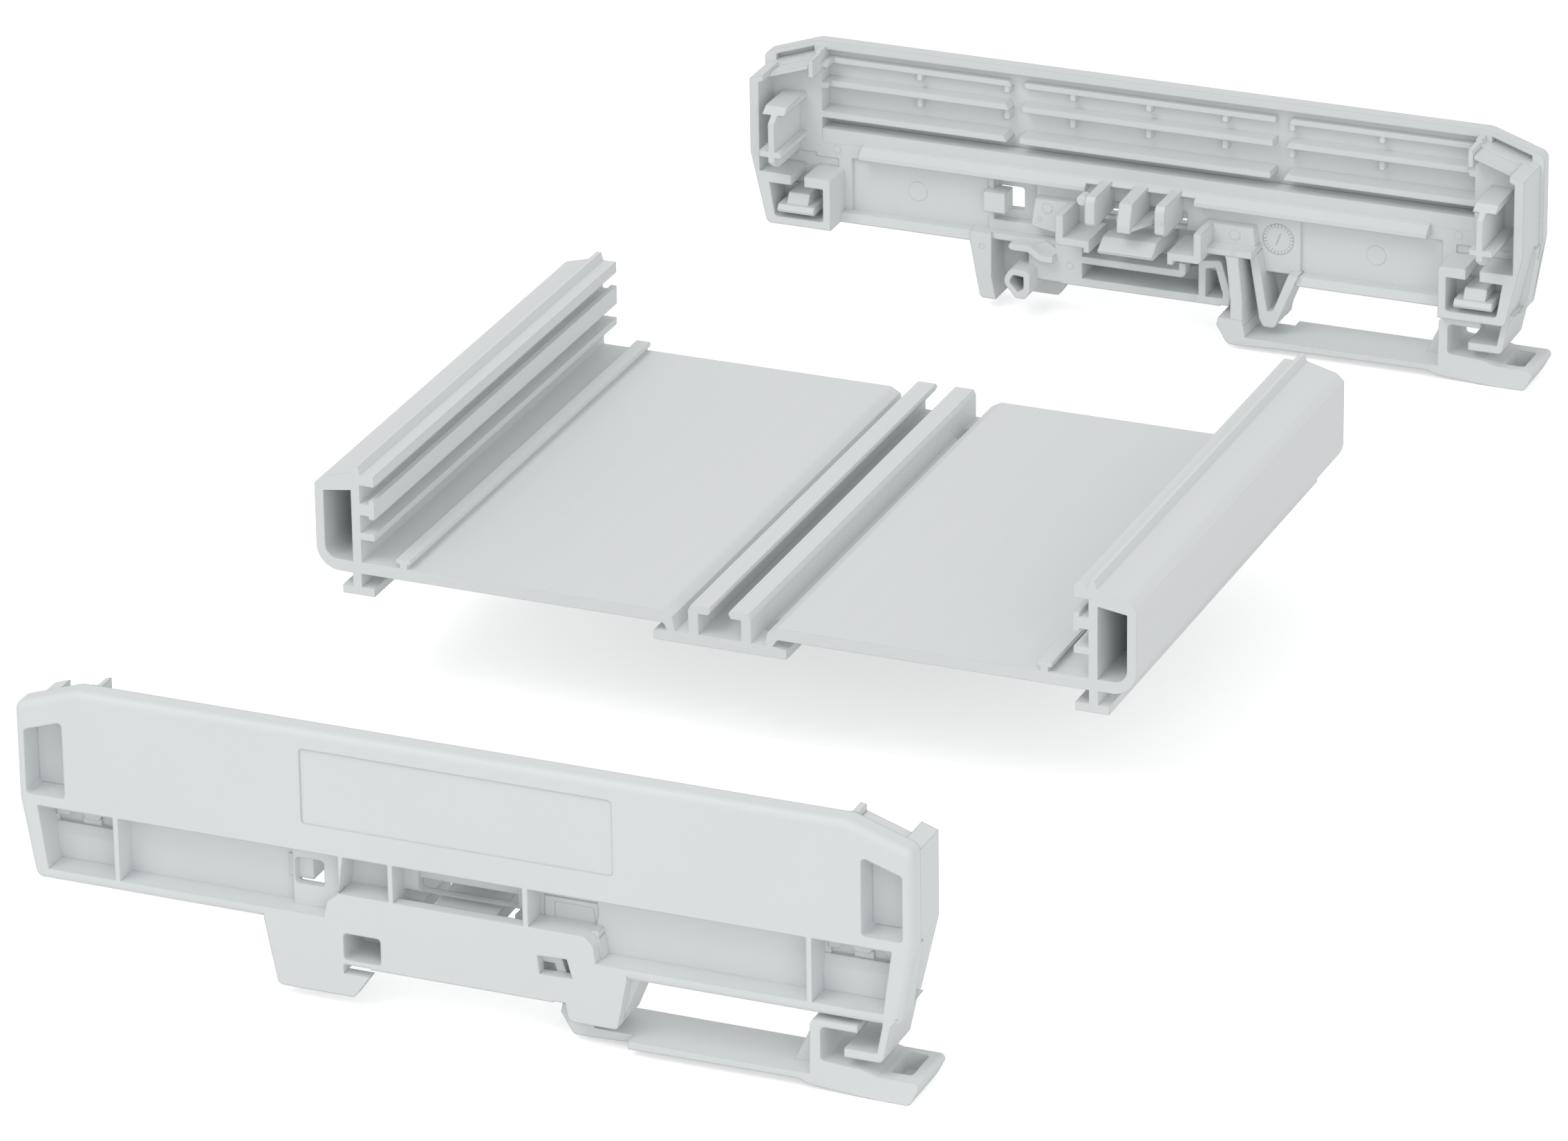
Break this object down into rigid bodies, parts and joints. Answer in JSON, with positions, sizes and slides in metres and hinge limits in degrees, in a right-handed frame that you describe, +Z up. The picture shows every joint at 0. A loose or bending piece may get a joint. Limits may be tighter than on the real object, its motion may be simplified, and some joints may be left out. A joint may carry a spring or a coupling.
{
  "type": "din rail enclosure",
  "caption": "Low tray housing for a 35 mm rail, pulled apart: extruded base profile and two clip-on side elements with sprung rail latches.",
  "frame": {"origin": "middle of the enclosure at the underside of the latch handles", "axes": "+X across the tray towards the latch handles, +Y along the extrusion away from the front side element, +Z up from the rail"},
  "size_m": [0.1441, 0.294, 0.044],
  "materials": {
    "profile_plastic": "smooth extruded, satin",
    "moulded_plastic": "finely textured moulding, satin"
  },
  "bodies": {
    "tray": {"base_profile": "profile_plastic"},
    "side_front": {"side_element_front": "moulded_plastic", "latch_leg_front": "moulded_plastic"},
    "side_rear": {"side_element_rear": "moulded_plastic", "latch_leg_rear": "moulded_plastic"},
    "latch_front": {"rail_latch_front": "moulded_plastic"},
    "latch_rear": {"rail_latch_rear": "moulded_plastic"}
  },
  "joints": [
    {"name": "side_front_slide", "type": "slide", "parent": "tray", "child": "side_front", "axis": [0, 1, 0], "range_m": [0, 0.0933]},
    {"name": "side_rear_slide", "type": "slide", "parent": "tray", "child": "side_rear", "axis": [0, -1, 0], "range_m": [0, 0.0933]},
    {"name": "latch_front_slide", "type": "slide", "parent": "side_front", "child": "latch_front", "axis": [1, 0, 0], "range_m": [0, 0.0018], "stiffness_N_per_m": 1200, "deforming": ["latch_leg_front"]},
    {"name": "latch_rear_slide", "type": "slide", "parent": "side_rear", "child": "latch_rear", "axis": [1, 0, 0], "range_m": [0, 0.0018], "stiffness_N_per_m": 1200, "deforming": ["latch_leg_rear"]}
  ]
}
